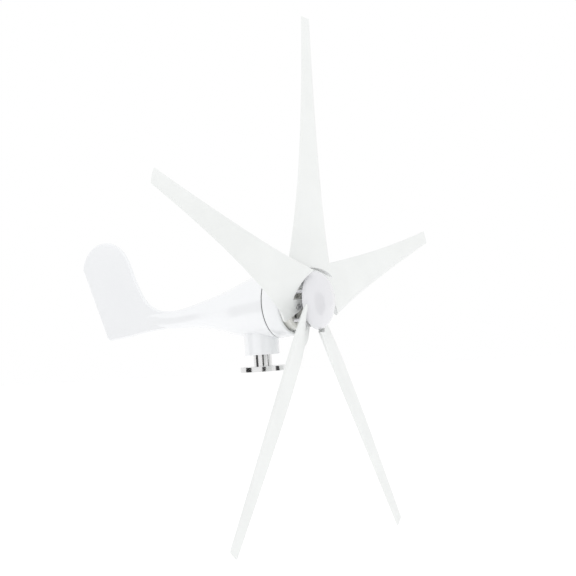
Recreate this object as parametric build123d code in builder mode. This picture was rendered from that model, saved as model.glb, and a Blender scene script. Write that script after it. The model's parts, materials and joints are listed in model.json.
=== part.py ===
from build123d import *

import os
from math import cos, exp, pi, radians, sin, sqrt, tan

os.makedirs("parts", exist_ok=True)

# Small five-bladed upwind wind turbine, in millimetres.
# The origin is the centre of the mounting flange's underside, where it sits on the mast.
# +Z is up and is the yaw axis. The rotor faces -Y and the tail fin points to +Y.

# ---- driving dimensions -------------------------------------------------------------------

AXIS_HEIGHT = 153.0  # rotor axis above the mast top
ROTOR_PLANE_Y = -152.0  # reference plane of the blades
ROTOR_RADIUS = 650.0
BLADE_COUNT = 5
BLADE_SPACING = 360.0 / BLADE_COUNT
FIRST_BLADE_ANGLE = 3.4  # degrees clockwise from up, seen from the front

FIT_GAP = 0.02  # between pieces that are pressed together
RUNNING_GAP = 0.3  # between pieces that move past each other
EDGE_BREAK = 0.8

# Mast side
FLANGE_RADIUS = 53.0
FLANGE_THICKNESS = 12.0
FLANGE_HOLE_RADIUS = 4.5
FLANGE_HOLE_CIRCLE = 41.0
YAW_SHAFT_RADIUS = 20.9
YAW_SHAFT_TOP = 142.0
CABLE_BORE_RADIUS = 9.0
LOWER_SEAT_RADIUS = 20.0
UPPER_SEAT_RADIUS = 17.5
RING_SEAT_RADIUS = 12.5

# Neck and yaw bearings
NECK_RADIUS = 40.0
NECK_BOTTOM = 38.7
NECK_TOP = 94.0
LOWER_BEARING_Z = 45.0
LOWER_BEARING_SIZE = (40.0, 68.0, 15.0)  # bore, outside diameter and width
UPPER_BEARING_Z = 77.0
UPPER_BEARING_SIZE = (35.0, 62.0, 14.0)
NECK_SHOULDER_RADIUS = 29.0

# Generator housing
BODY_RADIUS = 79.0
SHELL_FRONT_Y = -52.0
GASKET_THICKNESS = 2.5
COVER_REAR_Y = SHELL_FRONT_Y - GASKET_THICKNESS
COVER_FRONT_Y = -92.0
COVER_FACE_Y = -86.0
COVER_INSIDE_Y = -80.0
COVER_RIM_RADIUS = 72.0
COVER_RECESS_RADIUS = 70.0
HOUSING_BORE = 73.0
RIB_COUNT = 6
RIB_WIDTH = 13.0
RIB_START_ANGLE = 30.0
SCREW_CIRCLE = 65.5
BULKHEAD_FRONT_Y = -41.0
BULKHEAD_REAR_Y = -36.0
BULKHEAD_BORE = 50.0
SHELL_WALL = 5.0
PLATE_RADIUS = 59.0
PLATE_SCREW_CIRCLE = 54.0
PLATE_SCREW_COUNT = 4

# Generator
STATOR_RADIUS = 59.5
STATOR_BORE = 44.0
STACK_REAR_Y = -51.5
STACK_FRONT_Y = -75.0
SLOT_COUNT = 24
SLOT_WIDTH = 5.0
SLOT_BOTTOM_RADIUS = 55.0
AIR_GAP = 0.8
MAGNET_THICKNESS = 3.2
MAGNET_COUNT = 12
MAGNET_ARC = 24.0  # degrees covered by each magnet

# Generator shaft
SHAFT_REAR_Y = -29.0
REAR_JOURNAL_RADIUS = 7.5
CORE_SEAT_RADIUS = 12.0
FRONT_JOURNAL_RADIUS = 10.0
THREAD_RADIUS = 8.0
SHAFT_FRONT_Y = -137.0
REAR_BEARING_Y = -32.0
REAR_BEARING_SIZE = (15.0, 35.0, 11.0)
FRONT_BEARING_Y = -82.0
FRONT_BEARING_SIZE = (20.0, 47.0, 14.0)

# Hub, blade tabs and nose cone
HUB_FACE_Y = -111.0
HUB_WEB = 7.0
HUB_RADIUS = 64.5
HUB_RIM_WALL = 5.0
HUB_REAR_Y = -88.5
HUB_BOSS_RADIUS = 21.0
HUB_NOSE_Y = -121.0  # front of the central boss, under the hub nut
TAB_THICKNESS = 7.0
TAB_ANGLE = -35.0  # the tab's direction from its blade's own radius, degrees clockwise
TAB_BOLT_RADII = (35.0, 52.0)
BOLT_RADIUS = 3.0
BOLT_HOLE_RADIUS = 3.3
BOLT_REACH = 11.0  # how far the bolts go into the hub's pads
NOSE_RADIUS = 66.5
NOSE_BASE_Y = -151.0
NOSE_HEIGHT = 32.0
NOSE_WALL = 2.5
POST_CIRCLE = 55.0
POST_RADIUS = 4.0
BLADE_ROOT_RADIUS = 74.0

ROTOR_AXIS = Axis((0, 0, AXIS_HEIGHT), (0, 1, 0))


# ---- helpers ------------------------------------------------------------------------------


def across(y):
    """Plane across the rotor axis at y: its x is +X, its y is up and its normal points forward."""
    return Plane(origin=(0, y, AXIS_HEIGHT), x_dir=(1, 0, 0), z_dir=(0, -1, 0))


def height(above_axis):
    """Z of a point given by its height above the rotor axis."""
    return AXIS_HEIGHT + above_axis


def beside_axis(*points):
    """Points in the YZ plane from (y, distance from the rotor axis) pairs."""
    return [(y, AXIS_HEIGHT + radius) for y, radius in points]


def export_bearing(name, plane, size):
    """Deep-groove ball bearing on a plane: an inner ring, an outer ring and a set of balls."""
    bore, outside, width = size
    pitch_radius = (bore + outside) / 4
    ball_radius = (outside - bore) * 0.145
    land = ball_radius * 0.6
    ball_count = int(pi * pitch_radius / ball_radius * 0.85)
    middle = plane.offset(width / 2)

    with BuildPart() as inner_ring:
        with BuildSketch(plane):
            Circle(pitch_radius - land)
            Circle(bore / 2 + FIT_GAP, mode=Mode.SUBTRACT)
        extrude(amount=width)
        with Locations(middle):
            Torus(pitch_radius, ball_radius + RUNNING_GAP, mode=Mode.SUBTRACT)
    inner_ring.part.label = f"{name}_inner_ring"
    export_step(inner_ring.part, f"parts/{name}_inner_ring.step")

    with BuildPart() as outer_ring:
        with BuildSketch(plane):
            Circle(outside / 2 - FIT_GAP)
            Circle(pitch_radius + land, mode=Mode.SUBTRACT)
        extrude(amount=width)
        with Locations(middle):
            Torus(pitch_radius, ball_radius + FIT_GAP, mode=Mode.SUBTRACT)
    outer_ring.part.label = f"{name}_outer_ring"
    export_step(outer_ring.part, f"parts/{name}_outer_ring.step")

    with BuildPart() as balls:
        with Locations(middle):
            with PolarLocations(pitch_radius, ball_count):
                Sphere(ball_radius)
    balls.part.label = f"{name}_balls"
    export_step(balls.part, f"parts/{name}_balls.step")


# ---- mast side: flange, yaw shaft and slip rings ------------------------------------------

with BuildPart() as mounting_flange:
    with BuildSketch(Plane.XY):
        Circle(FLANGE_RADIUS)
        Circle(YAW_SHAFT_RADIUS + FIT_GAP, mode=Mode.SUBTRACT)
    extrude(amount=FLANGE_THICKNESS)
    with Locations(Plane.XY.offset(FLANGE_THICKNESS)):
        with PolarLocations(FLANGE_HOLE_CIRCLE, 4, start_angle=45):
            Hole(FLANGE_HOLE_RADIUS)
    chamfer(mounting_flange.edges().filter_by(GeomType.CIRCLE).group_by(SortBy.RADIUS)[-1], EDGE_BREAK)
mounting_flange.part.label = "mounting_flange"
export_step(mounting_flange.part, "parts/mounting_flange.step")

SHAFT_STEP_Z = LOWER_BEARING_Z + LOWER_BEARING_SIZE[2] + 1.0
RING_SEAT_Z = 96.0

with BuildPart() as yaw_shaft:
    with BuildSketch(Plane.XZ):
        with BuildLine():
            Polyline(
                (CABLE_BORE_RADIUS, 0),
                (YAW_SHAFT_RADIUS, 0),
                (YAW_SHAFT_RADIUS, LOWER_BEARING_Z),
                (LOWER_SEAT_RADIUS, LOWER_BEARING_Z),
                (LOWER_SEAT_RADIUS, SHAFT_STEP_Z),
                (UPPER_SEAT_RADIUS, SHAFT_STEP_Z),
                (UPPER_SEAT_RADIUS, RING_SEAT_Z),
                (RING_SEAT_RADIUS, RING_SEAT_Z),
                (RING_SEAT_RADIUS, YAW_SHAFT_TOP),
                (CABLE_BORE_RADIUS, YAW_SHAFT_TOP),
                close=True,
            )
        make_face()
    revolve(axis=Axis.Z)
yaw_shaft.part.label = "yaw_shaft"
export_step(yaw_shaft.part, "parts/yaw_shaft.step")

with BuildPart() as yaw_bearing_spacer:
    with BuildSketch(Plane.XY.offset(SHAFT_STEP_Z)):
        Circle(LOWER_SEAT_RADIUS + 2)
        Circle(UPPER_SEAT_RADIUS + FIT_GAP, mode=Mode.SUBTRACT)
    extrude(amount=UPPER_BEARING_Z - SHAFT_STEP_Z)
yaw_bearing_spacer.part.label = "yaw_bearing_spacer"
export_step(yaw_bearing_spacer.part, "parts/yaw_bearing_spacer.step")

CIRCLIP_THICKNESS = 2.0
CIRCLIP_GAP = 8.0

with BuildPart() as yaw_shaft_circlip:
    with BuildSketch(Plane.XY.offset(UPPER_BEARING_Z + UPPER_BEARING_SIZE[2])):
        Circle(UPPER_SEAT_RADIUS + 4)
        Circle(UPPER_SEAT_RADIUS + FIT_GAP, mode=Mode.SUBTRACT)
        with Locations((UPPER_SEAT_RADIUS + 2, 0)):
            Rectangle(CIRCLIP_GAP, CIRCLIP_GAP, mode=Mode.SUBTRACT)
    extrude(amount=CIRCLIP_THICKNESS)
yaw_shaft_circlip.part.label = "yaw_shaft_circlip"
export_step(yaw_shaft_circlip.part, "parts/yaw_shaft_circlip.step")

RING_COUNT = 3
RING_WIDTH = 8.0
RING_RADIUS = 20.0
CORE_RADIUS = 17.0
CORE_RIB_RADIUS = 21.5
CORE_RIB = 3.0
RING_PITCH = RING_WIDTH + CORE_RIB
CORE_BOTTOM = RING_SEAT_Z + 1.0
CORE_LENGTH = RING_COUNT * RING_PITCH + CORE_RIB

with BuildPart() as slip_ring_core:
    with BuildSketch(Plane.XY.offset(CORE_BOTTOM)):
        Circle(CORE_RADIUS)
        Circle(RING_SEAT_RADIUS + FIT_GAP, mode=Mode.SUBTRACT)
    extrude(amount=CORE_LENGTH)
    for rib in range(RING_COUNT + 1):
        with BuildSketch(Plane.XY.offset(CORE_BOTTOM + rib * RING_PITCH)):
            Circle(CORE_RIB_RADIUS)
            Circle(CORE_RADIUS, mode=Mode.SUBTRACT)
        extrude(amount=CORE_RIB)
slip_ring_core.part.label = "slip_ring_core"
export_step(slip_ring_core.part, "parts/slip_ring_core.step")

with BuildPart() as slip_rings:
    for ring in range(RING_COUNT):
        ring_bottom = CORE_BOTTOM + CORE_RIB + ring * RING_PITCH + FIT_GAP
        with BuildSketch(Plane.XY.offset(ring_bottom)):
            Circle(RING_RADIUS)
            Circle(CORE_RADIUS + FIT_GAP, mode=Mode.SUBTRACT)
        extrude(amount=RING_WIDTH - 2 * FIT_GAP)
slip_rings.part.label = "slip_rings"
export_step(slip_rings.part, "parts/slip_rings.step")

# ---- nacelle shell: one casting with the neck, the tail boom and the fin ------------------

# Each station: y, half width, half height and how far its centre is below the rotor axis
SHELL_STATIONS = (
    (SHELL_FRONT_Y, 79.0, 79.0, 0.0),
    (-5.0, 71.5, 71.5, 4.4),
    (45.0, 60.5, 60.9, 9.2),
    (90.0, 46.0, 47.3, 11.2),
    (140.0, 30.5, 34.2, 12.0),
    (195.0, 18.0, 25.2, 15.8),
    (255.0, 9.5, 20.6, 18.0),
    (330.0, 4.3, 15.0, 20.0),
)
CAVITY_STATIONS = 5
STATION_POINTS = 16
FIN_HALF_THICKNESS = 4.8
FIN_TOP_CENTRE = (430.0, 114.0)
FIN_TOP_RADIUS = 69.5
FIN_EDGE_RADIUS = 3.6


def oval(half_width, half_height, drop):
    """Points round an oval that is centred below the rotor axis."""
    turns = [2 * pi * step / STATION_POINTS for step in range(STATION_POINTS)]
    return [(half_width * cos(turn), half_height * sin(turn) - drop) for turn in turns]


FIN_CENTRE_Y = FIN_TOP_CENTRE[0]
FIN_CENTRE_Z = height(FIN_TOP_CENTRE[1])
FIN_BACK_ANGLE = radians(6)
FIN_FRONT_ANGLE = radians(136)
FIN_BACK_POINT = (
    FIN_CENTRE_Y + FIN_TOP_RADIUS * cos(FIN_BACK_ANGLE),
    FIN_CENTRE_Z + FIN_TOP_RADIUS * sin(FIN_BACK_ANGLE),
)
FIN_FRONT_POINT = (
    FIN_CENTRE_Y + FIN_TOP_RADIUS * cos(FIN_FRONT_ANGLE),
    FIN_CENTRE_Z + FIN_TOP_RADIUS * sin(FIN_FRONT_ANGLE),
)
FIN_TOP_POINT = (FIN_CENTRE_Y, FIN_CENTRE_Z + FIN_TOP_RADIUS)

with BuildPart() as nacelle_shell:
    with BuildSketch(Plane.YZ):
        with BuildLine():
            ThreePointArc(FIN_BACK_POINT, FIN_TOP_POINT, FIN_FRONT_POINT)
            Spline(
                FIN_FRONT_POINT,
                (356, height(122)),
                (345, height(90)),
                (332, height(60)),
                (308, height(24)),
                (278, height(7)),
                (240, height(2)),
                tangents=((-sin(FIN_FRONT_ANGLE), cos(FIN_FRONT_ANGLE)), (-1, -0.1)),
            )
            Line((240, height(2)), (225, height(-16)))
            Line((225, height(-16)), (240, height(-37)))
            Spline(
                (240, height(-37)),
                (311, height(-43)),
                (371, height(-51.5)),
                (420, height(-57)),
                tangents=((1, -0.08), (1, -0.09)),
            )
            ThreePointArc((420, height(-57)), (433, height(-55.5)), (439.5, height(-45)))
            Line((439.5, height(-45)), FIN_BACK_POINT)
        make_face()
    extrude(amount=FIN_HALF_THICKNESS, both=True)
    fillet(nacelle_shell.faces().filter_by(Axis.X).edges(), FIN_EDGE_RADIUS)
    for y, half_width, half_height, drop in SHELL_STATIONS:
        with BuildSketch(across(y)):
            with BuildLine():
                Spline(*oval(half_width, half_height, drop), periodic=True)
            make_face()
    loft()
    for y, half_width, half_height, drop in SHELL_STATIONS[:CAVITY_STATIONS]:
        with BuildSketch(across(y)):
            with BuildLine():
                Spline(*oval(half_width - SHELL_WALL, half_height - SHELL_WALL, drop), periodic=True)
            make_face()
    loft(mode=Mode.SUBTRACT)
    with BuildSketch(across(BULKHEAD_REAR_Y)):
        Circle(HOUSING_BORE)
        Circle(BULKHEAD_BORE, mode=Mode.SUBTRACT)
    extrude(amount=BULKHEAD_REAR_Y - BULKHEAD_FRONT_Y)
    with BuildSketch(across(BULKHEAD_FRONT_Y)):
        with PolarLocations((STATOR_RADIUS + HOUSING_BORE) / 2 + FIT_GAP, RIB_COUNT, RIB_START_ANGLE):
            Rectangle(HOUSING_BORE - STATOR_RADIUS, RIB_WIDTH)
    extrude(amount=BULKHEAD_FRONT_Y - SHELL_FRONT_Y)
    with BuildSketch(Plane.XY.offset(NECK_BOTTOM)):
        Circle(NECK_RADIUS)
    extrude(amount=NECK_TOP - NECK_BOTTOM)
    with BuildSketch(Plane.XY.offset(NECK_BOTTOM)):
        Circle(NECK_SHOULDER_RADIUS)
    extrude(amount=NECK_TOP - NECK_BOTTOM, mode=Mode.SUBTRACT)
    with BuildSketch(Plane.XY.offset(NECK_BOTTOM)):
        Circle(LOWER_BEARING_SIZE[1] / 2)
    extrude(amount=LOWER_BEARING_Z + LOWER_BEARING_SIZE[2] - NECK_BOTTOM, mode=Mode.SUBTRACT)
    with BuildSketch(Plane.XY.offset(UPPER_BEARING_Z)):
        Circle(UPPER_BEARING_SIZE[1] / 2)
    extrude(amount=NECK_TOP - UPPER_BEARING_Z, mode=Mode.SUBTRACT)
    with BuildSketch(across(SHELL_FRONT_Y)):
        with PolarLocations(SCREW_CIRCLE, RIB_COUNT, RIB_START_ANGLE):
            Circle(2.5 + FIT_GAP)
    extrude(amount=SHELL_FRONT_Y - BULKHEAD_REAR_Y, mode=Mode.SUBTRACT)
    with BuildSketch(across(BULKHEAD_FRONT_Y)):
        with PolarLocations(PLATE_SCREW_CIRCLE, PLATE_SCREW_COUNT):
            Circle(2.0 + FIT_GAP)
    extrude(amount=BULKHEAD_FRONT_Y - BULKHEAD_REAR_Y, mode=Mode.SUBTRACT)
nacelle_shell.part.label = "nacelle_shell"
export_step(nacelle_shell.part, "parts/nacelle_shell.step")

# ---- yaw bearings, seal and brush gear ----------------------------------------------------

export_bearing("yaw_bearing_lower", Plane.XY.offset(LOWER_BEARING_Z), LOWER_BEARING_SIZE)
export_bearing("yaw_bearing_upper", Plane.XY.offset(UPPER_BEARING_Z), UPPER_BEARING_SIZE)

SEAL_BOTTOM = 40.0
SEAL_LIP = 1.4

with BuildPart() as neck_seal:
    with BuildSketch(Plane.XZ):
        with BuildLine():
            Polyline(
                (YAW_SHAFT_RADIUS + RUNNING_GAP, SEAL_BOTTOM),
                (LOWER_BEARING_SIZE[1] / 2 - FIT_GAP, SEAL_BOTTOM),
                (LOWER_BEARING_SIZE[1] / 2 - FIT_GAP, LOWER_BEARING_Z - RUNNING_GAP),
                (YAW_SHAFT_RADIUS + 6, LOWER_BEARING_Z - RUNNING_GAP),
                (YAW_SHAFT_RADIUS + 6, SEAL_BOTTOM + SEAL_LIP),
                (YAW_SHAFT_RADIUS + RUNNING_GAP, SEAL_BOTTOM + SEAL_LIP),
                close=True,
            )
        make_face()
    revolve(axis=Axis.Z)
neck_seal.part.label = "neck_seal"
export_step(neck_seal.part, "parts/neck_seal.step")

BRUSH_WIDTH = 5.0
BRUSH_LENGTH = 12.0
HOLDER_FRONT_Y = 26.0
HOLDER_BACK_Y = 42.0
HOLDER_HALF_WIDTH = 10.0
HOLDER_TOP = CORE_BOTTOM + CORE_LENGTH + 2.0
HOLDER_FOOT = 5.0
HOLDER_FOOT_Y = (31.6, 39.4)
HOLDER_FOOT_HALF_WIDTH = 21.0
HOLDER_SCREW = (16.5, 34.6)
BRUSH_HOLE_GAP = 0.2
SPRING_RADIUS = 1.8
SPRING_WIRE = 0.35
SPRING_PITCH = 1.4
POCKET_END_Y = HOLDER_BACK_Y - 2.0
BRUSH_FRONT_Y = RING_RADIUS + RUNNING_GAP
BRUSH_BACK_Y = BRUSH_FRONT_Y + BRUSH_LENGTH
SPRING_START_Y = BRUSH_BACK_Y + 0.5
SPRING_LENGTH = POCKET_END_Y - SPRING_START_Y - 0.5
BRUSH_HEIGHTS = [CORE_BOTTOM + CORE_RIB + RING_WIDTH / 2 + ring * RING_PITCH for ring in range(RING_COUNT)]

with BuildPart() as brush_holder:
    with BuildSketch(Plane.XY.offset(NECK_TOP)):
        with Locations((0, (HOLDER_FRONT_Y + HOLDER_BACK_Y) / 2)):
            Rectangle(2 * HOLDER_HALF_WIDTH, HOLDER_BACK_Y - HOLDER_FRONT_Y)
    extrude(amount=HOLDER_TOP - NECK_TOP)
    with BuildSketch(Plane.XY.offset(NECK_TOP)):
        with Locations((0, sum(HOLDER_FOOT_Y) / 2)):
            RectangleRounded(2 * HOLDER_FOOT_HALF_WIDTH, HOLDER_FOOT_Y[1] - HOLDER_FOOT_Y[0], 2)
    extrude(amount=HOLDER_FOOT)
    with BuildSketch(Plane.XZ.offset(-HOLDER_FRONT_Y)):
        with Locations(*[(0, z) for z in BRUSH_HEIGHTS]):
            Rectangle(BRUSH_WIDTH + 2 * BRUSH_HOLE_GAP, BRUSH_WIDTH + 2 * BRUSH_HOLE_GAP)
    extrude(amount=HOLDER_FRONT_Y - POCKET_END_Y, mode=Mode.SUBTRACT)
    with Locations(Plane.XY.offset(NECK_TOP + HOLDER_FOOT)):
        with Locations((HOLDER_SCREW[0], HOLDER_SCREW[1]), (-HOLDER_SCREW[0], HOLDER_SCREW[1])):
            Hole(1.5 + FIT_GAP, depth=HOLDER_FOOT)
brush_holder.part.label = "brush_holder"
export_step(brush_holder.part, "parts/brush_holder.step")

with BuildPart() as brushes:
    with BuildSketch(Plane.XZ.offset(-BRUSH_FRONT_Y)):
        with Locations(*[(0, z) for z in BRUSH_HEIGHTS]):
            Rectangle(BRUSH_WIDTH, BRUSH_WIDTH)
    extrude(amount=-BRUSH_LENGTH)
brushes.part.label = "brushes"
export_step(brushes.part, "parts/brushes.step")

with BuildPart() as brush_springs:
    for z in BRUSH_HEIGHTS:
        with BuildLine() as coil:
            Helix(SPRING_PITCH, SPRING_LENGTH, SPRING_RADIUS, center=(0, SPRING_START_Y, z), direction=(0, 1, 0))
        with BuildSketch(Plane(origin=coil.line @ 0, z_dir=coil.line % 0)):
            Circle(SPRING_WIRE)
        sweep(path=coil.line)
brush_springs.part.label = "brush_springs"
export_step(brush_springs.part, "parts/brush_springs.step")

with BuildPart() as brush_holder_screws:
    with BuildSketch(Plane.XY.offset(NECK_TOP)):
        with Locations((HOLDER_SCREW[0], HOLDER_SCREW[1]), (-HOLDER_SCREW[0], HOLDER_SCREW[1])):
            Circle(1.5)
    extrude(amount=HOLDER_FOOT)
    with BuildSketch(Plane.XY.offset(NECK_TOP + HOLDER_FOOT)):
        with Locations((HOLDER_SCREW[0], HOLDER_SCREW[1]), (-HOLDER_SCREW[0], HOLDER_SCREW[1])):
            Circle(2.8)
            RegularPolygon(1.3, 6, major_radius=False, mode=Mode.SUBTRACT)
    extrude(amount=2.4)
brush_holder_screws.part.label = "brush_holder_screws"
export_step(brush_holder_screws.part, "parts/brush_holder_screws.step")

# ---- front cover, gasket and screws -------------------------------------------------------

COVER_BOSS_RADIUS = 29.0
COVER_BOSS_FRONT_Y = -102.0
COVER_BOSS_REAR_Y = -78.0
SEAL_FRONT_Y = -101.5
SEAL_REAR_Y = -97.0
SCREW_RADIUS = 2.5
SCREW_HEAD_RADIUS = 4.25
SCREW_HEAD_HEIGHT = 5.0
COVER_SHOULDER_Y = -84.0

with BuildPart() as front_cover:
    with BuildSketch(Plane.YZ):
        with BuildLine():
            Polyline(
                beside_axis(
                    (COVER_REAR_Y, HOUSING_BORE),
                    (COVER_REAR_Y, BODY_RADIUS),
                    (-66, BODY_RADIUS - 0.3),
                    (COVER_SHOULDER_Y, BODY_RADIUS - 2.5),
                )
            )
            Spline(
                beside_axis(
                    (COVER_SHOULDER_Y, BODY_RADIUS - 2.5),
                    (COVER_FRONT_Y + 1.5, BODY_RADIUS - 4.5),
                    (COVER_FRONT_Y, COVER_RIM_RADIUS),
                ),
                tangents=((-1, -0.12), (0, -1)),
            )
            Polyline(
                beside_axis(
                    (COVER_FRONT_Y, COVER_RIM_RADIUS),
                    (COVER_FRONT_Y, COVER_RECESS_RADIUS),
                    (COVER_FACE_Y, COVER_RECESS_RADIUS),
                    (COVER_FACE_Y, COVER_BOSS_RADIUS),
                    (COVER_BOSS_FRONT_Y, COVER_BOSS_RADIUS - 2),
                    (COVER_BOSS_FRONT_Y, FRONT_BEARING_SIZE[1] / 2),
                    (FRONT_BEARING_Y, FRONT_BEARING_SIZE[1] / 2),
                    (FRONT_BEARING_Y, CORE_SEAT_RADIUS + 3),
                    (COVER_BOSS_REAR_Y, CORE_SEAT_RADIUS + 3),
                    (COVER_BOSS_REAR_Y, COVER_BOSS_RADIUS),
                    (COVER_INSIDE_Y, COVER_BOSS_RADIUS),
                    (COVER_INSIDE_Y, HOUSING_BORE),
                    (COVER_REAR_Y, HOUSING_BORE),
                )
            )
        make_face()
    revolve(axis=ROTOR_AXIS)
    with BuildSketch(across(COVER_REAR_Y)):
        with PolarLocations((STATOR_RADIUS + HOUSING_BORE) / 2 + FIT_GAP, RIB_COUNT, RIB_START_ANGLE):
            Rectangle(HOUSING_BORE - STATOR_RADIUS, RIB_WIDTH)
    extrude(amount=COVER_REAR_Y - COVER_INSIDE_Y)
    with BuildSketch(across(COVER_REAR_Y)):
        with PolarLocations(SCREW_CIRCLE, RIB_COUNT, RIB_START_ANGLE):
            Circle(SCREW_RADIUS + FIT_GAP)
    extrude(amount=COVER_REAR_Y - COVER_FACE_Y, mode=Mode.SUBTRACT)
    with BuildSketch(across(COVER_FACE_Y)):
        with PolarLocations(SCREW_CIRCLE, RIB_COUNT, RIB_START_ANGLE):
            Circle(SCREW_HEAD_RADIUS + FIT_GAP)
    extrude(amount=-SCREW_HEAD_HEIGHT, mode=Mode.SUBTRACT)
front_cover.part.label = "front_cover"
export_step(front_cover.part, "parts/front_cover.step")

with BuildPart() as cover_gasket:
    with BuildSketch(across(SHELL_FRONT_Y)):
        Circle(BODY_RADIUS - 1.6)
        Circle(STATOR_RADIUS + 1, mode=Mode.SUBTRACT)
        with PolarLocations(SCREW_CIRCLE, RIB_COUNT, RIB_START_ANGLE):
            Circle(SCREW_RADIUS + FIT_GAP, mode=Mode.SUBTRACT)
    extrude(amount=GASKET_THICKNESS)
cover_gasket.part.label = "cover_gasket"
export_step(cover_gasket.part, "parts/cover_gasket.step")

with BuildPart() as cover_screws:
    with BuildSketch(across(BULKHEAD_REAR_Y - 1)):
        with PolarLocations(SCREW_CIRCLE, RIB_COUNT, RIB_START_ANGLE):
            Circle(SCREW_RADIUS)
    extrude(amount=BULKHEAD_REAR_Y - 1 - COVER_FACE_Y - SCREW_HEAD_HEIGHT)
    with BuildSketch(across(COVER_FACE_Y + SCREW_HEAD_HEIGHT)):
        with PolarLocations(SCREW_CIRCLE, RIB_COUNT, RIB_START_ANGLE):
            Circle(SCREW_HEAD_RADIUS)
    extrude(amount=SCREW_HEAD_HEIGHT)
    with BuildSketch(across(COVER_FACE_Y)):
        with PolarLocations(SCREW_CIRCLE, RIB_COUNT, RIB_START_ANGLE):
            RegularPolygon(2.0, 6, major_radius=False)
    extrude(amount=-2.5, mode=Mode.SUBTRACT)
cover_screws.part.label = "cover_screws"
export_step(cover_screws.part, "parts/cover_screws.step")

# ---- generator: stator, bearing plate and bearings ----------------------------------------

SLOT_MOUTH_RADIUS = STATOR_BORE + 2.0
SLOT_MOUTH_WIDTH = 2.5
WINDING_GAP = 0.15

with BuildPart() as stator_core:
    with BuildSketch(across(STACK_REAR_Y)):
        Circle(STATOR_RADIUS)
        Circle(STATOR_BORE, mode=Mode.SUBTRACT)
        with PolarLocations((SLOT_MOUTH_RADIUS + SLOT_BOTTOM_RADIUS) / 2, SLOT_COUNT):
            Rectangle(SLOT_BOTTOM_RADIUS - SLOT_MOUTH_RADIUS, SLOT_WIDTH, mode=Mode.SUBTRACT)
        with PolarLocations(SLOT_MOUTH_RADIUS, SLOT_COUNT):
            Rectangle(6, SLOT_MOUTH_WIDTH, mode=Mode.SUBTRACT)
    extrude(amount=STACK_REAR_Y - STACK_FRONT_Y)
stator_core.part.label = "stator_core"
export_step(stator_core.part, "parts/stator_core.step")

END_TURN_OUTER = SLOT_BOTTOM_RADIUS - WINDING_GAP
END_TURN_INNER = SLOT_MOUTH_RADIUS + WINDING_GAP
END_TURN_LENGTH = 4.0

with BuildPart() as stator_windings:
    with BuildSketch(across(STACK_REAR_Y + 1)):
        with PolarLocations((END_TURN_INNER + END_TURN_OUTER) / 2, SLOT_COUNT):
            Rectangle(END_TURN_OUTER - END_TURN_INNER - 1, SLOT_WIDTH - 2 * WINDING_GAP)
    extrude(amount=STACK_REAR_Y - STACK_FRONT_Y + 2)
    for end_y in (STACK_REAR_Y + WINDING_GAP + END_TURN_LENGTH, STACK_FRONT_Y - WINDING_GAP):
        with BuildSketch(across(end_y)):
            Circle(END_TURN_OUTER)
            Circle(END_TURN_INNER, mode=Mode.SUBTRACT)
        extrude(amount=END_TURN_LENGTH)
stator_windings.part.label = "stator_windings"
export_step(stator_windings.part, "parts/stator_windings.step")

PLATE_FRONT_Y = -46.0
PLATE_BOSS_RADIUS = 23.0
PLATE_BOSS_REAR_Y = -27.0
PLATE_WINDOW_COUNT = 4

with BuildPart() as bearing_plate:
    with BuildSketch(across(BULKHEAD_FRONT_Y)):
        Circle(PLATE_RADIUS)
        with PolarLocations((PLATE_BOSS_RADIUS + BULKHEAD_BORE) / 2, PLATE_WINDOW_COUNT, 45):
            Circle(9, mode=Mode.SUBTRACT)
    extrude(amount=BULKHEAD_FRONT_Y - PLATE_FRONT_Y)
    with BuildSketch(across(PLATE_BOSS_REAR_Y)):
        Circle(PLATE_BOSS_RADIUS)
    extrude(amount=PLATE_BOSS_REAR_Y - PLATE_FRONT_Y)
    with BuildSketch(across(PLATE_BOSS_REAR_Y)):
        Circle(REAR_BEARING_SIZE[1] / 2 - 4)
    extrude(amount=PLATE_BOSS_REAR_Y - REAR_BEARING_Y, mode=Mode.SUBTRACT)
    with BuildSketch(across(REAR_BEARING_Y)):
        Circle(REAR_BEARING_SIZE[1] / 2)
    extrude(amount=REAR_BEARING_Y - PLATE_FRONT_Y, mode=Mode.SUBTRACT)
    with BuildSketch(across(BULKHEAD_FRONT_Y)):
        with PolarLocations(PLATE_SCREW_CIRCLE, PLATE_SCREW_COUNT):
            Circle(2 + FIT_GAP)
    extrude(amount=BULKHEAD_FRONT_Y - PLATE_FRONT_Y, mode=Mode.SUBTRACT)
bearing_plate.part.label = "bearing_plate"
export_step(bearing_plate.part, "parts/bearing_plate.step")

with BuildPart() as bearing_plate_screws:
    with BuildSketch(across(BULKHEAD_REAR_Y)):
        with PolarLocations(PLATE_SCREW_CIRCLE, PLATE_SCREW_COUNT):
            Circle(2)
    extrude(amount=BULKHEAD_REAR_Y - PLATE_FRONT_Y)
bearing_plate_screws.part.label = "bearing_plate_screws"
export_step(bearing_plate_screws.part, "parts/bearing_plate_screws.step")

export_bearing("front_bearing", across(FRONT_BEARING_Y), FRONT_BEARING_SIZE)
export_bearing("rear_bearing", across(REAR_BEARING_Y), REAR_BEARING_SIZE)

with BuildPart() as shaft_seal:
    with BuildSketch(across(SEAL_REAR_Y)):
        Circle(FRONT_BEARING_SIZE[1] / 2 - FIT_GAP)
        Circle(FRONT_JOURNAL_RADIUS + RUNNING_GAP, mode=Mode.SUBTRACT)
    extrude(amount=SEAL_REAR_Y - SEAL_FRONT_Y)
shaft_seal.part.label = "shaft_seal"
export_step(shaft_seal.part, "parts/shaft_seal.step")

# ---- rotor: shaft, magnet core, magnets ---------------------------------------------------

FRONT_STEP_Y = FRONT_BEARING_Y + 2.5
REAR_STEP_Y = REAR_BEARING_Y - REAR_BEARING_SIZE[2]
KEY_WIDTH = 6.0
KEY_DEPTH = 3.0
KEY_PROUD = 2.5
KEY_REAR_Y = -105.0
HUB_SEAT_END_Y = HUB_NOSE_Y + 0.5

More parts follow.
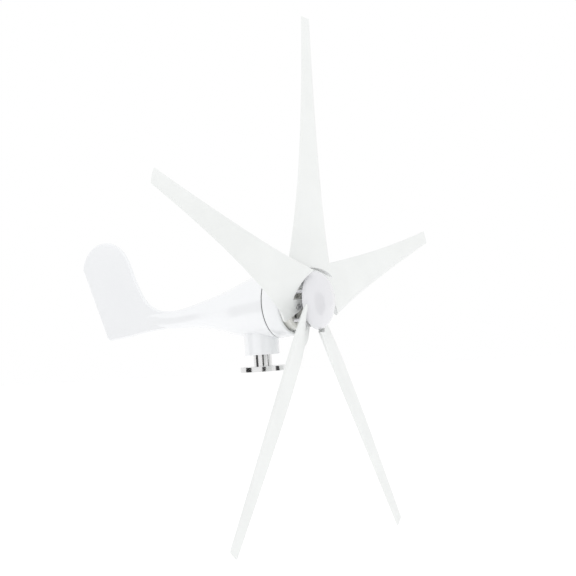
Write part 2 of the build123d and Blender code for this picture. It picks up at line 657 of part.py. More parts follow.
with BuildPart() as generator_shaft:
    with BuildSketch(Plane.YZ):
        with BuildLine():
            Polyline(
                beside_axis(
                    (SHAFT_REAR_Y, 0),
                    (SHAFT_REAR_Y, REAR_JOURNAL_RADIUS),
                    (REAR_STEP_Y, REAR_JOURNAL_RADIUS),
                    (REAR_STEP_Y, CORE_SEAT_RADIUS),
                    (FRONT_STEP_Y - 2.5, CORE_SEAT_RADIUS),
                    (FRONT_STEP_Y - 2.5, FRONT_JOURNAL_RADIUS),
                    (HUB_SEAT_END_Y, FRONT_JOURNAL_RADIUS),
                    (HUB_SEAT_END_Y, THREAD_RADIUS),
                    (SHAFT_FRONT_Y + 1.5, THREAD_RADIUS),
                    (SHAFT_FRONT_Y, THREAD_RADIUS - 1.5),
                    (SHAFT_FRONT_Y, 0),
                ),
                close=True,
            )
        make_face()
    revolve(axis=ROTOR_AXIS)
    with BuildSketch(across(KEY_REAR_Y)):
        with Locations((0, FRONT_JOURNAL_RADIUS - KEY_DEPTH / 2)):
            Rectangle(KEY_WIDTH, KEY_DEPTH)
    extrude(amount=KEY_REAR_Y - HUB_SEAT_END_Y, mode=Mode.SUBTRACT)
generator_shaft.part.label = "generator_shaft"
export_step(generator_shaft.part, "parts/generator_shaft.step")

MAGNET_RADIUS = STATOR_BORE - AIR_GAP
ROTOR_CORE_RADIUS = MAGNET_RADIUS - MAGNET_THICKNESS

with BuildPart() as rotor_core:
    with BuildSketch(across(STACK_REAR_Y)):
        Circle(ROTOR_CORE_RADIUS)
        Circle(CORE_SEAT_RADIUS + FIT_GAP, mode=Mode.SUBTRACT)
        with PolarLocations((ROTOR_CORE_RADIUS + CORE_SEAT_RADIUS) / 2, 6):
            Circle(7, mode=Mode.SUBTRACT)
    extrude(amount=STACK_REAR_Y - STACK_FRONT_Y)
rotor_core.part.label = "rotor_core"
export_step(rotor_core.part, "parts/rotor_core.step")

MAGNET_GAP = MAGNET_RADIUS * radians(360 / MAGNET_COUNT - MAGNET_ARC)

with BuildPart() as magnets:
    with BuildSketch(across(STACK_REAR_Y)):
        Circle(MAGNET_RADIUS)
        Circle(ROTOR_CORE_RADIUS + FIT_GAP, mode=Mode.SUBTRACT)
        with PolarLocations((MAGNET_RADIUS + ROTOR_CORE_RADIUS) / 2, MAGNET_COUNT):
            Rectangle(2 * MAGNET_THICKNESS, MAGNET_GAP, mode=Mode.SUBTRACT)
    extrude(amount=STACK_REAR_Y - STACK_FRONT_Y)
magnets.part.label = "magnets"
export_step(magnets.part, "parts/magnets.step")

# ---- blades -------------------------------------------------------------------------------

# Every blade has the same section at each distance from the rotor axis. Across the blade,
# x is clockwise seen from the front and y points downwind. Its size falls off smoothly:
REFERENCE_RADIUS = 120.0
CHORD = (109.0, 439.0)  # value at the reference radius and how quickly it falls off
PITCH = (20.6, 290.0)
LEADING_EDGE = (46.0, 641.0)
SWEEP_FORWARD = (9.0, 130.0)
CAMBER = 0.03
CAMBER_POSITION = 0.4
THICKNESS = 0.11
TRAILING_EDGE = 0.6
SECTION_STEPS = 9
SECTION_RADII = (52.0, 80.0, 120.0, 180.0, 270.0, 380.0, 510.0, ROTOR_RADIUS)


def falling(value, radius):
    """A blade dimension at a distance from the rotor axis."""
    reference, reach = value
    return reference * exp(-(radius - REFERENCE_RADIUS) / reach)


def aerofoil(radius):
    """Points round the blade's section, from the trailing edge over the back to the front."""
    chord = falling(CHORD, radius)
    pitch = radians(falling(PITCH, radius))
    nose_x = falling(LEADING_EDGE, radius)
    nose_y = 1.0 - falling(SWEEP_FORWARD, radius)
    stations = [(1 - cos(pi * step / SECTION_STEPS)) / 2 for step in range(SECTION_STEPS + 1)]
    sides = [(s, 1) for s in reversed(stations)] + [(s, -1) for s in stations[1:]]
    points = []
    for s, side in sides:
        half = 5 * THICKNESS * (0.2969 * sqrt(s) - 0.126 * s - 0.3516 * s**2 + 0.2843 * s**3 - 0.1036 * s**4)
        if s < CAMBER_POSITION:
            arch = CAMBER / CAMBER_POSITION**2 * (2 * CAMBER_POSITION * s - s**2)
        else:
            tail = 1 - CAMBER_POSITION
            arch = CAMBER / tail**2 * (1 - 2 * CAMBER_POSITION + 2 * CAMBER_POSITION * s - s**2)
        across_chord = (arch + side * half) * chord + side * s * TRAILING_EDGE
        along = s * chord
        points.append(
            (
                nose_x - along * cos(pitch) + across_chord * sin(pitch),
                nose_y + along * sin(pitch) + across_chord * cos(pitch),
            )
        )
    return points


def blade_plane(number, distance):
    """Plane across a blade at a distance from the rotor axis."""
    angle = radians(FIRST_BLADE_ANGLE + number * BLADE_SPACING)
    outward = Vector(sin(angle), 0, cos(angle))
    origin = Vector(0, ROTOR_PLANE_Y, AXIS_HEIGHT) + outward * distance
    return Plane(origin=origin, x_dir=(cos(angle), 0, -sin(angle)), z_dir=outward)


# The mounting tab carries the blade's own pitch inwards, under its trailing half. It lies on
# an inclined pad of the hub. On the pad's plane, x is across the blade, clockwise, and y is
# out along it; the plane's normal points forwards.
TAB_PITCH = falling(PITCH, 80.0)
TAB_BACK = 5.7  # from the chord line at the root to the tab's back face
TAB_LOW_ANGLE = -51.0
TAB_HIGH_ANGLE = -19.0
TAB_INNER = 26.0
TAB_CORNER = (-72.0, 68.0)
TAB_OUTER = 106.0
TAB_OUTER_LEFT = -54.0
TAB_OUTER_RIGHT = -14.0


def seat_plane(number):
    """Front face of the hub's pad for one blade."""
    section = blade_plane(number, 0)
    pitch = radians(TAB_PITCH)
    back = section.x_dir * sin(pitch) + section.y_dir * cos(pitch)
    leading = section.x_dir * cos(pitch) - section.y_dir * sin(pitch)
    root = section.from_local_coords((falling(LEADING_EDGE, 80.0), 1.0 - falling(SWEEP_FORWARD, 80.0)))
    start = root - leading * (falling(LEADING_EDGE, 80.0) / cos(pitch)) + back * TAB_BACK
    return Plane(origin=start, x_dir=leading, z_dir=back * -1)


def wedge(inner, outer):
    """Corners of the tab's wedge between two distances out along the blade."""
    low = tan(radians(TAB_LOW_ANGLE)) / cos(radians(TAB_PITCH))
    high = tan(radians(TAB_HIGH_ANGLE)) / cos(radians(TAB_PITCH))
    return [
        (inner * high, inner),
        (inner * low, inner),
        (outer * low, outer),
        (outer * high, outer),
    ]


# ---- hub ----------------------------------------------------------------------------------

HUB_BOSS_REAR_Y = -103.5
PAD_INNER = 24.0
PAD_OUTER = 57.0
PAD_DEPTH = 26.0
WINDOW_CIRCLE = 37.5
WINDOW_RADIUS = 10.5
FIRST_TAB_ANGLE = 90.0 - FIRST_BLADE_ANGLE - TAB_ANGLE
FIRST_GAP_ANGLE = FIRST_TAB_ANGLE + BLADE_SPACING / 2
POST_SCREW_RADIUS = 2.0


def bolt_places():
    """Places of one blade's bolts on its pad's plane."""
    angle = radians(TAB_ANGLE)
    stretch = cos(radians(TAB_PITCH))
    return [(distance * sin(angle) / stretch, distance * cos(angle)) for distance in TAB_BOLT_RADII]


with BuildPart() as hub_plate:
    with BuildSketch(Plane.YZ):
        with BuildLine():
            Polyline(
                beside_axis(
                    (HUB_NOSE_Y, 0),
                    (HUB_NOSE_Y, HUB_BOSS_RADIUS - 1),
                    (HUB_NOSE_Y + 1, HUB_BOSS_RADIUS),
                    (HUB_FACE_Y, HUB_BOSS_RADIUS),
                    (HUB_FACE_Y, HUB_RADIUS - 4),
                    (HUB_FACE_Y + 4, HUB_RADIUS),
                    (HUB_REAR_Y, HUB_RADIUS),
                    (HUB_REAR_Y, 0),
                ),
                close=True,
            )
        make_face()
    revolve(axis=ROTOR_AXIS)
    for number in range(BLADE_COUNT):
        with BuildSketch(seat_plane(number)):
            with BuildLine():
                Polyline(*wedge(PAD_INNER, PAD_OUTER), close=True)
            make_face()
        extrude(amount=-PAD_DEPTH)
    with BuildSketch(across(HUB_FACE_Y + HUB_WEB + PAD_DEPTH)):
        Circle(HUB_RADIUS + PAD_DEPTH)
        Circle(HUB_RADIUS, mode=Mode.SUBTRACT)
    extrude(amount=2 * PAD_DEPTH, mode=Mode.SUBTRACT)
    with BuildSketch(across(HUB_FACE_Y + HUB_WEB + PAD_DEPTH)):
        Circle(HUB_RADIUS - HUB_RIM_WALL)
        Circle(HUB_BOSS_RADIUS, mode=Mode.SUBTRACT)
    extrude(amount=PAD_DEPTH, mode=Mode.SUBTRACT)
    with BuildSketch(across(HUB_REAR_Y)):
        Circle(HUB_BOSS_RADIUS)
    extrude(amount=HUB_REAR_Y - HUB_BOSS_REAR_Y, mode=Mode.SUBTRACT)
    with BuildSketch(across(HUB_REAR_Y)):
        Circle(FRONT_JOURNAL_RADIUS + FIT_GAP)
    extrude(amount=HUB_REAR_Y - HUB_NOSE_Y, mode=Mode.SUBTRACT)
    for number in range(BLADE_COUNT):
        with BuildSketch(seat_plane(number)):
            for x, y in bolt_places():
                with Locations((x, y)):
                    Circle(BOLT_RADIUS + FIT_GAP)
        extrude(amount=-BOLT_REACH - 1, mode=Mode.SUBTRACT)
    with BuildSketch(across(HUB_FACE_Y + HUB_WEB)):
        with PolarLocations(POST_CIRCLE, BLADE_COUNT, FIRST_GAP_ANGLE):
            Circle(POST_SCREW_RADIUS + FIT_GAP)
        with PolarLocations(WINDOW_CIRCLE, BLADE_COUNT, FIRST_GAP_ANGLE):
            Circle(WINDOW_RADIUS)
    extrude(amount=HUB_WEB, mode=Mode.SUBTRACT)
    with BuildSketch(across(HUB_BOSS_REAR_Y)):
        with Locations((0, FRONT_JOURNAL_RADIUS + KEY_PROUD / 2)):
            Rectangle(KEY_WIDTH, KEY_PROUD + 1)
    extrude(amount=HUB_BOSS_REAR_Y - HUB_NOSE_Y, mode=Mode.SUBTRACT)
hub_plate.part.label = "hub_plate"
export_step(hub_plate.part, "parts/hub_plate.step")

with BuildPart() as hub_key:
    with BuildSketch(across(KEY_REAR_Y - FIT_GAP)):
        with Locations((0, FRONT_JOURNAL_RADIUS - KEY_DEPTH / 2 + KEY_PROUD / 2)):
            Rectangle(KEY_WIDTH - 2 * FIT_GAP, KEY_DEPTH + KEY_PROUD - 2 * FIT_GAP)
    extrude(amount=KEY_REAR_Y - HUB_SEAT_END_Y - 1)
hub_key.part.label = "hub_key"
export_step(hub_key.part, "parts/hub_key.step")

LOCK_WASHER_THICKNESS = 2.5
HUB_NUT_FLATS = 24.0
HUB_NUT_HEIGHT = 13.0

with BuildPart() as hub_lock_washer:
    with BuildSketch(across(HUB_NOSE_Y)):
        Circle(15)
        Circle(THREAD_RADIUS + FIT_GAP, mode=Mode.SUBTRACT)
    extrude(amount=LOCK_WASHER_THICKNESS)
hub_lock_washer.part.label = "hub_lock_washer"
export_step(hub_lock_washer.part, "parts/hub_lock_washer.step")

with BuildPart() as hub_nut:
    with BuildSketch(across(HUB_NOSE_Y - LOCK_WASHER_THICKNESS)):
        RegularPolygon(HUB_NUT_FLATS / 2, 6, major_radius=False)
        Circle(THREAD_RADIUS + FIT_GAP, mode=Mode.SUBTRACT)
    extrude(amount=HUB_NUT_HEIGHT)
hub_nut.part.label = "hub_nut"
export_step(hub_nut.part, "parts/hub_nut.step")

# ---- blades -------------------------------------------------------------------------------

for number in range(BLADE_COUNT):
    with BuildPart() as blade:
        for distance in SECTION_RADII:
            with BuildSketch(blade_plane(number, distance)):
                with BuildLine():
                    outline = aerofoil(distance)
                    Spline(*outline)
                    Line(outline[-1], outline[0])
                make_face()
        loft()
        with BuildSketch(across(HUB_REAR_Y)):
            Circle(BLADE_ROOT_RADIUS)
        extrude(amount=2 * BLADE_ROOT_RADIUS, mode=Mode.SUBTRACT)
        with BuildSketch(seat_plane(number)):
            with BuildLine():
                tab = wedge(TAB_INNER, TAB_CORNER[1])
                Polyline(
                    tab[0],
                    tab[1],
                    wedge(TAB_INNER, PAD_OUTER)[2],
                    TAB_CORNER,
                    (TAB_OUTER_LEFT, TAB_OUTER),
                    (TAB_OUTER_RIGHT, TAB_OUTER),
                    tab[3],
                    close=True,
                )
            make_face()
        extrude(amount=TAB_THICKNESS)
        with BuildSketch(seat_plane(number)):
            for x, y in bolt_places():
                with Locations((x, y)):
                    Circle(BOLT_HOLE_RADIUS)
        extrude(amount=TAB_THICKNESS, mode=Mode.SUBTRACT)
    blade.part.label = f"blade_{number + 1}"
    export_step(blade.part, f"parts/blade_{number + 1}.step")

# ---- blade bolts, nose cone and its screws ------------------------------------------------

WASHER_THICKNESS = 1.6
WASHER_RADIUS = 6.0
BOLT_HEAD_FLATS = 10.0
BOLT_HEAD_HEIGHT = 4.0
HUB_BACK_Y = HUB_FACE_Y + HUB_WEB

with BuildPart() as blade_washers:
    for number in range(BLADE_COUNT):
        with BuildSketch(seat_plane(number).offset(TAB_THICKNESS)):
            for x, y in bolt_places():
                with Locations((x, y)):
                    Circle(WASHER_RADIUS)
                    Circle(BOLT_HOLE_RADIUS, mode=Mode.SUBTRACT)
        extrude(amount=WASHER_THICKNESS)
blade_washers.part.label = "blade_washers"
export_step(blade_washers.part, "parts/blade_washers.step")

with BuildPart() as blade_bolts:
    for number in range(BLADE_COUNT):
        with BuildSketch(seat_plane(number).offset(-BOLT_REACH)):
            for x, y in bolt_places():
                with Locations((x, y)):
                    Circle(BOLT_RADIUS)
        extrude(amount=BOLT_REACH + TAB_THICKNESS + WASHER_THICKNESS)
        with BuildSketch(seat_plane(number).offset(TAB_THICKNESS + WASHER_THICKNESS)):
            for x, y in bolt_places():
                with Locations((x, y)):
                    RegularPolygon(BOLT_HEAD_FLATS / 2, 6, major_radius=False)
        extrude(amount=BOLT_HEAD_HEIGHT)
blade_bolts.part.label = "blade_bolts"
export_step(blade_bolts.part, "parts/blade_bolts.step")

POST_SCREW_DEPTH = 14.0
POST_SCREW_HEAD_RADIUS = 3.2
POST_SCREW_HEAD_HEIGHT = 2.0
NOSE_SECTION = Plane(origin=(0, NOSE_BASE_Y, AXIS_HEIGHT), x_dir=(0, 0, 1), z_dir=(1, 0, 0))
POST_REACH = NOSE_HEIGHT * sqrt(1 - ((POST_CIRCLE + POST_RADIUS) / NOSE_RADIUS) ** 2) - RUNNING_GAP


def dome(radius, depth):
    """Points along a quarter of the nose cone's oval section, from its rim to its tip."""
    turns = [step * pi / 8 for step in range(5)]
    return [(radius * cos(turn), depth * sin(turn)) for turn in turns]


with BuildPart() as nose_cone:
    with BuildSketch(NOSE_SECTION):
        with BuildLine():
            outside = Spline(*dome(NOSE_RADIUS, NOSE_HEIGHT), tangents=((0, 1), (-1, 0)))
            inner_dome = dome(NOSE_RADIUS - NOSE_WALL, NOSE_HEIGHT - NOSE_WALL)
            inside = Spline(*inner_dome, tangents=((0, 1), (-1, 0)))
            Line(outside @ 0, inside @ 0)
            Line(outside @ 1, inside @ 1)
        make_face()
    revolve(axis=ROTOR_AXIS)
    with BuildSketch(across(HUB_FACE_Y)):
        with PolarLocations(POST_CIRCLE, BLADE_COUNT, FIRST_GAP_ANGLE):
            Circle(POST_RADIUS)
    extrude(amount=HUB_FACE_Y - NOSE_BASE_Y + POST_REACH)
    with BuildSketch(across(HUB_FACE_Y)):
        with PolarLocations(POST_CIRCLE, BLADE_COUNT, FIRST_GAP_ANGLE):
            Circle(POST_SCREW_RADIUS + FIT_GAP)
    extrude(amount=POST_SCREW_DEPTH, mode=Mode.SUBTRACT)
nose_cone.part.label = "nose_cone"
export_step(nose_cone.part, "parts/nose_cone.step")

with BuildPart() as nose_cone_screws:
    with BuildSketch(across(HUB_BACK_Y)):
        with PolarLocations(POST_CIRCLE, BLADE_COUNT, FIRST_GAP_ANGLE):
            Circle(POST_SCREW_RADIUS)
    extrude(amount=HUB_WEB + POST_SCREW_DEPTH - 1)
    with BuildSketch(across(HUB_BACK_Y + POST_SCREW_HEAD_HEIGHT)):
        with PolarLocations(POST_CIRCLE, BLADE_COUNT, FIRST_GAP_ANGLE):
            Circle(POST_SCREW_HEAD_RADIUS)
    extrude(amount=POST_SCREW_HEAD_HEIGHT)
nose_cone_screws.part.label = "nose_cone_screws"
export_step(nose_cone_screws.part, "parts/nose_cone_screws.step")
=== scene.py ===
import json
import math

import bpy
from mathutils import Matrix, Vector


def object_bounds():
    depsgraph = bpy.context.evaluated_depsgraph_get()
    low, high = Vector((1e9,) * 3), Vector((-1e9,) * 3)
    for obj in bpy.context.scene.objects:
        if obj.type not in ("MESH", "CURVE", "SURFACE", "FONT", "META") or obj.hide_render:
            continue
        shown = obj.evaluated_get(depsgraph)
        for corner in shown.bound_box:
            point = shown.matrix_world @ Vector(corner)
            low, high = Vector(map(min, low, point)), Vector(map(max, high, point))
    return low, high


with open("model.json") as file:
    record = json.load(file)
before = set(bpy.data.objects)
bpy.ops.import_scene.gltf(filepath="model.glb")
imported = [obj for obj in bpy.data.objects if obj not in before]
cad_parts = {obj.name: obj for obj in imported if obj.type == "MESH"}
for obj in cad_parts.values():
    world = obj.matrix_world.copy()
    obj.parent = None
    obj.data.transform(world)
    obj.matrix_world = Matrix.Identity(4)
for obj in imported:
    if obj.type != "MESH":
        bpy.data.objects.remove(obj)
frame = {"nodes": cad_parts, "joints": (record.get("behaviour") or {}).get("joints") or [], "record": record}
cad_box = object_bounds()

RECORD = frame["record"]
NODES = frame["nodes"]
JOINTS = {joint["name"]: joint for joint in frame["joints"]}
SPIN_CENTRE = Vector(JOINTS["spin"]["pos_m"])
AXIS_HEIGHT = SPIN_CENTRE.z


# ---- camera -------------------------------------------------------------------------------

CAMERA_AZIMUTH = math.radians(-60.4)
CAMERA_ELEVATION = math.radians(-2.0)
CAMERA_ROLL = math.radians(-4.02)
CAMERA_DISTANCE = 3.111
CAMERA_LENS = 84.4
AIM_POINT = Vector((0, 0, 0.150))
AIM_OFFSET = (-0.0214, -0.0135)  # where the aim point sits in the view, as shares of the distance


def make_camera():
    """A long lens from the front left, a little below the rotor's axis and rolled slightly."""
    flat = math.cos(CAMERA_ELEVATION)
    back = Vector(
        (
            math.sin(CAMERA_AZIMUTH) * flat,
            -math.cos(CAMERA_AZIMUTH) * flat,
            math.sin(CAMERA_ELEVATION),
        )
    )
    level = Vector((math.cos(CAMERA_AZIMUTH), math.sin(CAMERA_AZIMUTH), 0))
    upright = back.cross(level)
    right = math.cos(CAMERA_ROLL) * level + math.sin(CAMERA_ROLL) * upright
    up = math.cos(CAMERA_ROLL) * upright - math.sin(CAMERA_ROLL) * level
    place = AIM_POINT + CAMERA_DISTANCE * (back - AIM_OFFSET[0] * right - AIM_OFFSET[1] * up)
    data = bpy.data.cameras.new("studio_camera")
    data.lens = CAMERA_LENS
    data.sensor_width = 36
    data.clip_end = 60
    camera = bpy.data.objects.new("studio_camera", data)
    bpy.context.scene.collection.objects.link(camera)
    turn = Matrix((right, up, back)).transposed().to_4x4()
    camera.matrix_world = Matrix.Translation(place) @ turn
    bpy.context.scene.camera = camera


# ---- shader maths -------------------------------------------------------------------------


class Value:
    """A shader socket that takes part in Python arithmetic."""

    def __init__(self, shader, socket):
        self.shader = shader
        self.socket = socket

    def math(self, operation, *others):
        inputs = dict(enumerate((self, *others)))
        return self.shader.node("ShaderNodeMath", {"operation": operation}, inputs)

    def __add__(self, other):
        return self.math("ADD", other)

    def __sub__(self, other):
        return self.math("SUBTRACT", other)

    def __rsub__(self, other):
        return self.shader.node("ShaderNodeMath", {"operation": "SUBTRACT"}, {0: other, 1: self})

    def __mul__(self, other):
        return self.math("MULTIPLY", other)

    __radd__ = __add__
    __rmul__ = __mul__

    def clamp(self):
        return self.shader.node("ShaderNodeClamp", {}, {"Value": self})

    def band(self, low, high):
        """0 below low, 1 above high and a smooth step between them."""
        settings = {"interpolation_type": "SMOOTHSTEP"}
        inputs = {"Value": self, "From Min": low, "From Max": high}
        return self.shader.node("ShaderNodeMapRange", settings, inputs)


class Shader:
    """One material's node tree."""

    def __init__(self, name):
        self.material = bpy.data.materials.new(name)
        self.material.use_nodes = True
        self.tree = self.material.node_tree
        self.tree.nodes.clear()
        self.output = self.tree.nodes.new("ShaderNodeOutputMaterial")

    def node(self, kind, settings=None, inputs=None, output=0):
        """Adds a node: its settings first, then its sockets' values or links."""
        made = self.tree.nodes.new(kind)
        for key, value in (settings or {}).items():
            setattr(made, key, value)
        for key, value in (inputs or {}).items():
            self.feed(made.inputs[key], value)
        return Value(self, made.outputs[output])

    def feed(self, socket, value):
        if isinstance(value, Value):
            self.tree.links.new(value.socket, socket)
        else:
            socket.default_value = value

    def place(self):
        """The surface point in metres, in the piece's own rest position."""
        return self.node("ShaderNodeTexCoord", output="Object")

    def stretched(self, scale):
        return self.node("ShaderNodeMapping", {}, {"Vector": self.place(), "Scale": scale})

    def noise(self, scale, detail=3.0, roughness=0.5, at=None):
        inputs = {"Vector": at or self.place(), "Scale": scale, "Detail": detail, "Roughness": roughness}
        return self.node("ShaderNodeTexNoise", {}, inputs)

    def mix(self, share, first, second):
        """A colour between two others."""
        inputs = {0: share, 6: first, 7: second}
        return self.node("ShaderNodeMix", {"data_type": "RGBA"}, inputs, output=2)

    def edge_wear(self, radius):
        """1 where the surface turns sharply within a radius, 0 on open faces."""
        soft = self.node("ShaderNodeBevel", {"samples": 4}, {"Radius": radius})
        sharp = self.node("ShaderNodeNewGeometry", output="Normal")
        settings = {"operation": "DOT_PRODUCT"}
        agree = self.node("ShaderNodeVectorMath", settings, {0: soft, 1: sharp}, output="Value")
        return (1 - agree).band(0.01, 0.12)

    def bump(self, height, strength, distance):
        inputs = {"Height": height, "Strength": strength, "Distance": distance}
        return self.node("ShaderNodeBump", {}, inputs)

    def surface(self, **sockets):
        """Finishes the material with a Principled shader."""
        inputs = {name.replace("_", " "): value for name, value in sockets.items()}
        shader = self.node("ShaderNodeBsdfPrincipled", {}, inputs)
        self.tree.links.new(shader.socket, self.output.inputs["Surface"])
        return self.material


def colour(red, green, blue):
    return (red, green, blue, 1.0)


# ---- materials ----------------------------------------------------------------------------


def blade_nylon():
    """Glass-filled nylon, moulded with a fine satin grain and faint flow marks along the span."""
    shader = Shader("blade_nylon")
    flow = shader.noise(9.0, 4.0, 0.55)
    grain = shader.noise(1400.0, 2.0)
    tone = shader.mix(flow.band(0.3, 0.7), colour(0.835, 0.85, 0.84), colour(0.865, 0.88, 0.87))
    height = grain * 0.6 + shader.noise(220.0, 2.0) * 0.4
    return shader.surface(
        Base_Color=tone,
        Roughness=0.38 + flow * 0.12,
        Specular_IOR_Level=0.45,
        Normal=shader.bump(height, 0.12, 0.0004),
    )


def powder_coat(name, pale, deep, gloss):
    """Thick glossy paint with a soft orange-peel ripple and a slightly deeper tone in the film."""
    shader = Shader(name)
    cloud = shader.noise(14.0, 3.0)
    peel = shader.noise(520.0, 2.0, 0.4)
    tone = shader.mix(cloud.band(0.3, 0.7), colour(*deep), colour(*pale))
    return shader.surface(
        Base_Color=tone,
        Roughness=gloss + cloud * 0.03,
        Coat_Weight=0.6,
        Coat_Roughness=0.06,
        Normal=shader.bump(peel, 0.08, 0.0005),
    )


def nose_gloss():
    """Glossy injection-moulded cone with a barely waved surface. Its grey-violet base colour is painted
    shade: darker than the cone's white plastic, standing in for the shading on the dome.
    """
    shader = Shader("nose_plastic")
    cloud = shader.noise(20.0, 2.0)
    # painted shade: both greys are darker and more violet than the white plastic, standing in for the dome's
    # shading
    tone = shader.mix(cloud.band(0.3, 0.7), colour(0.755, 0.755, 0.78), colour(0.775, 0.775, 0.80))
    return shader.surface(
        Base_Color=tone,
        Roughness=0.16 + cloud * 0.05,
        Coat_Weight=0.4,
        Coat_Roughness=0.05,
        Normal=shader.bump(shader.noise(160.0, 2.0), 0.05, 0.0005),
    )


def turned_metal(name, bright, dark, roughness, lines):
    """Machined metal: fine rings left by the tool, brushed tone and small handling marks."""
    shader = Shader(name)
    rings = shader.noise(lines, 3.0, 0.6, at=shader.stretched((0.04, 0.04, 1.0)))
    smudge = shader.noise(60.0, 4.0, 0.6)
    tone = shader.mix(rings.band(0.3, 0.7), colour(*dark), colour(*bright))
    return shader.surface(
        Base_Color=tone,
        Metallic=1.0,
        Roughness=roughness + smudge * roughness * 0.5,
        Normal=shader.bump(rings, 0.04, 0.0002),
    )


def plain_metal(name, bright, dark, roughness):
    """Metal with an even finish, mottled slightly and brighter where its edges are rubbed."""
    shader = Shader(name)
    mottle = shader.noise(180.0, 4.0, 0.6)
    worn = shader.edge_wear(0.0006)
    tone = shader.mix((mottle * 0.7 + worn * 0.5).clamp(), colour(*dark), colour(*bright))
    return shader.surface(
        Base_Color=tone,
        Metallic=1.0,
        Roughness=roughness + mottle * 0.12,
        Normal=shader.bump(mottle, 0.1, 0.0002),
    )


def dull_solid(name, pale, deep, roughness, grain):
    """Rubber, phenolic or carbon: a fine matt grain with uneven tone."""
    shader = Shader(name)
    dust = shader.noise(90.0, 4.0, 0.6)
    fine = shader.noise(grain, 2.0)
    tone = shader.mix(dust.band(0.35, 0.7), colour(*deep), colour(*pale))
    return shader.surface(
        Base_Color=tone,
        Roughness=roughness + dust * 0.15,
        Normal=shader.bump(fine, 0.2, 0.0003),
    )


def make_finishes():
    """One material for each of the record's material slots."""
    return {
        "blade_nylon": blade_nylon(),
        "nacelle_paint": powder_coat("nacelle_paint", (0.89, 0.90, 0.915), (0.88, 0.89, 0.905), 0.2),
        "hub_paint": powder_coat("hub_paint", (0.78, 0.78, 0.74), (0.73, 0.73, 0.69), 0.34),
        "nose_plastic": nose_gloss(),
        "polished_steel": turned_metal("polished_steel", (0.8, 0.8, 0.8), (0.74, 0.74, 0.74), 0.12, 900.0),
        "bearing_steel": turned_metal("bearing_steel", (0.72, 0.72, 0.72), (0.6, 0.6, 0.6), 0.1, 900.0),
        "machined_steel": turned_metal("machined_steel", (0.56, 0.56, 0.56), (0.42, 0.42, 0.42), 0.28, 700.0),
        "spring_steel": plain_metal("spring_steel", (0.45, 0.45, 0.46), (0.28, 0.28, 0.29), 0.3),
        "fastener_steel": plain_metal("fastener_steel", (0.68, 0.68, 0.69), (0.5, 0.5, 0.5), 0.24),
        "cast_aluminium": plain_metal("cast_aluminium", (0.7, 0.7, 0.71), (0.55, 0.55, 0.56), 0.42),
        "contact_copper": turned_metal("contact_copper", (0.84, 0.5, 0.33), (0.7, 0.38, 0.24), 0.22, 900.0),
        "winding_copper": plain_metal("winding_copper", (0.62, 0.26, 0.12), (0.42, 0.15, 0.07), 0.3),
        "magnet_nickel": plain_metal("magnet_nickel", (0.66, 0.64, 0.6), (0.52, 0.5, 0.47), 0.18),
        "lamination_steel": plain_metal("lamination_steel", (0.36, 0.36, 0.37), (0.24, 0.24, 0.25), 0.42),
        "insulator": dull_solid("insulator", (0.07, 0.07, 0.075), (0.04, 0.04, 0.043), 0.45, 900.0),
        "seal_rubber": dull_solid("seal_rubber", (0.045, 0.045, 0.045), (0.02, 0.02, 0.02), 0.6, 1200.0),
        "carbon": dull_solid("carbon", (0.07, 0.07, 0.07), (0.03, 0.03, 0.03), 0.5, 1500.0),
    }


def dress_nodes(finishes):
    """Gives every CAD node the finish of its material slot."""
    for part in RECORD["subparts"]:
        data = NODES[part["node"]].data
        data.materials.clear()
        data.materials.append(finishes[part["material_slot"]])


# ---- studio -------------------------------------------------------------------------------


# The lens looks from the left of the rotor. These run across its view and back towards it.
SIDEWAYS = Vector((0.49, -0.87, 0.0))
TOWARDS = Vector((-0.87, -0.49, 0.0))

FLOOR_DROP = 0.02  # below the lowest blade tip
FLOOR_REACH = 14.0
FLOOR_SHADE = 0.98
FLOOR_GLOW = 0.1
CARD_SHADE = 0.02
CARD_CENTRE = Vector((0, 0, 0.02))  # level with the steel foot, which the cards are for
CARD_HALF_HEIGHT = Vector((0, 0, 0.4))
LAMP_OFFSET = Vector((0, 0, 2.2)) + TOWARDS * 0.9
LAMP_SIZE = (1.6, 1.6)
LAMP_POWER = 3.0


def sheet_mesh(name, corners, material):
    """A single four-cornered sheet."""
    data = bpy.data.meshes.new(name)
    data.from_pydata(corners, [], [(0, 1, 2, 3)])
    data.materials.append(material)
    made = bpy.data.objects.new(name, data)
    bpy.context.scene.collection.objects.link(made)
    return made


def plain_surface(name, shade, roughness, glow=0.0):
    """Matt card or floor in one grey, with a trace of mottling."""
    shader = Shader(name)
    speckle = shader.noise(30.0, 2.0)
    deeper = shade * 0.99
    tone = shader.mix(speckle, colour(shade, shade, shade), colour(deeper, deeper, deeper))
    return shader.surface(
        Base_Color=tone,
        Roughness=roughness,
        Emission_Color=colour(1, 1, 1),
        Emission_Strength=glow,
    )


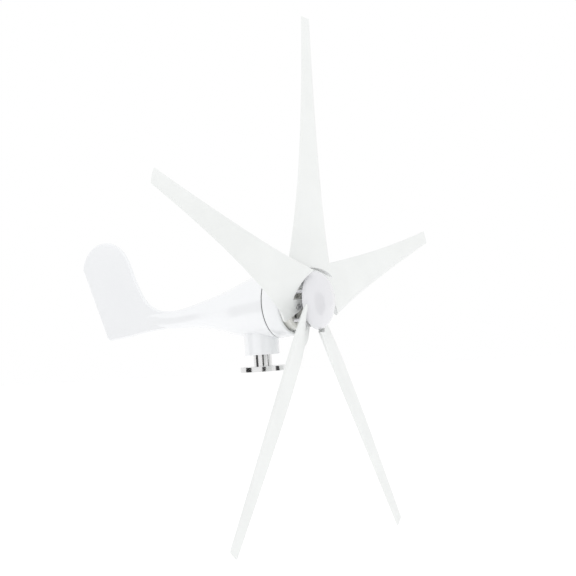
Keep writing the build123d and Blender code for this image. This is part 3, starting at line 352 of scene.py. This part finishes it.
def make_floor():
    """A wide pale floor just below the lowest blade tip."""
    level = cad_box[0].z - FLOOR_DROP
    reach = FLOOR_REACH
    corners = [(-reach, -reach, level), (reach, -reach, level), (reach, reach, level), (-reach, reach, level)]
    white = plain_surface("studio_white", FLOOR_SHADE, 0.9, FLOOR_GLOW)
    sheet_mesh("studio_floor", corners, white)


def make_flag(name, centre, across, upward):
    """A dark card out of sight, seen only in gloss and steel, as black flags are in a studio."""
    corners = [
        centre - across - upward,
        centre + across - upward,
        centre + across + upward,
        centre - across + upward,
    ]
    card = sheet_mesh(name, corners, plain_surface(name, CARD_SHADE, 1.0))
    card.visible_camera = False
    card.visible_shadow = False
    card.visible_diffuse = False


def make_lamp(name, place, aim, size, power):
    data = bpy.data.lights.new(name, "AREA")
    data.shape = "RECTANGLE"
    data.size, data.size_y = size
    data.energy = power
    lamp = bpy.data.objects.new(name, data)
    lamp.location = place
    lamp.rotation_mode = "QUATERNION"
    lamp.rotation_quaternion = (Vector(aim) - Vector(place)).to_track_quat("-Z", "Y")
    bpy.context.scene.collection.objects.link(lamp)


def make_studio():
    """White surroundings, the floor, the dark cards and one broad lamp overhead."""
    scene = bpy.context.scene
    scene.view_settings.view_transform = "Standard"
    world = bpy.data.worlds.new("white_studio")
    world.use_nodes = True
    world.node_tree.nodes["Background"].inputs["Color"].default_value = colour(1, 1, 1)
    world.node_tree.nodes["Background"].inputs["Strength"].default_value = 1.0
    scene.world = world
    make_floor()
    middle = Vector((0, 0, AXIS_HEIGHT))
    left = CARD_CENTRE + SIDEWAYS * -1.5 + TOWARDS * 0.4
    right = CARD_CENTRE + SIDEWAYS * 1.4 + TOWARDS * 0.2
    near = CARD_CENTRE + SIDEWAYS * 0.6 + TOWARDS * 3.4
    make_flag("left_card", left, TOWARDS * 0.5, CARD_HALF_HEIGHT)
    make_flag("right_card", right, TOWARDS * 0.45, CARD_HALF_HEIGHT)
    make_flag("near_card", near, SIDEWAYS * 0.9, CARD_HALF_HEIGHT)
    make_lamp("overhead_softbox", middle + LAMP_OFFSET, middle, LAMP_SIZE, LAMP_POWER)


finishes = make_finishes()
make_camera()
dress_nodes(finishes)
make_studio()
